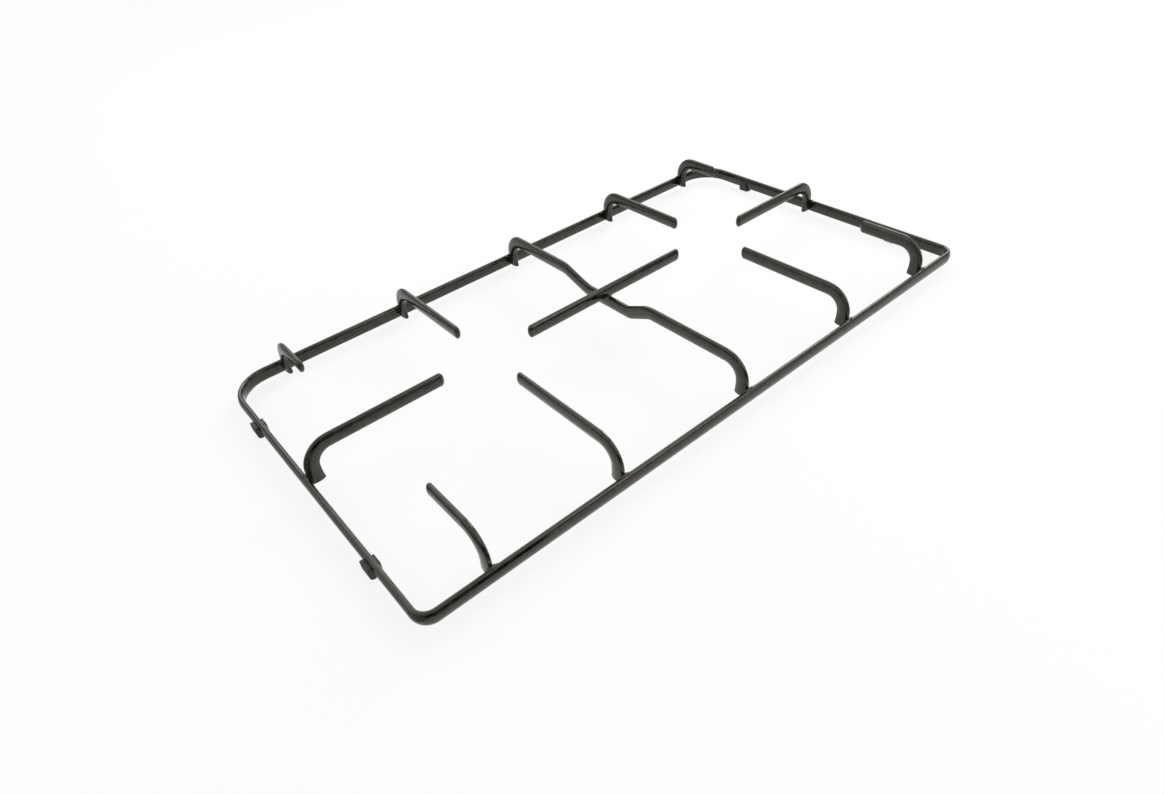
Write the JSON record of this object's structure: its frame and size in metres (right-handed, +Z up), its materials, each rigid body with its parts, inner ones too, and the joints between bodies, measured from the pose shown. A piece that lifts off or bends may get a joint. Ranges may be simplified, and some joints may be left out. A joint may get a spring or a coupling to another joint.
{
  "type": "hob pan support",
  "caption": "Rectangular welded rod grid with raised fingers round two burner gaps, a dipped bridge and a cross bar, which carries pans over one half of a gas hob.",
  "frame": {"origin": "on the hob's top plate, under the middle of the rim", "axes": "+X along the long side, +Y towards the back of the hob, +Z up"},
  "size_m": [0.4844, 0.2586, 0.034],
  "materials": {
    "black_enamel": "semi-gloss black vitreous enamel on steel",
    "foot_rubber": "moulded black rubber, a little shiny from the mould"
  },
  "bodies": {
    "root": {"rim": "black_enamel", "centre_bridge": "black_enamel", "cross_bar": "black_enamel", "left_finger": "black_enamel", "right_finger": "black_enamel", "back_left_finger": "black_enamel", "back_right_finger": "black_enamel", "front_left_finger": "black_enamel", "front_right_finger": "black_enamel", "back_left_corner_finger": "black_enamel", "back_right_corner_finger": "black_enamel", "front_left_corner_finger": "black_enamel", "front_right_corner_finger": "black_enamel", "back_left_foot": "foot_rubber", "back_right_foot": "foot_rubber", "front_left_foot": "foot_rubber", "front_right_foot": "foot_rubber"}
  },
  "joints": []
}
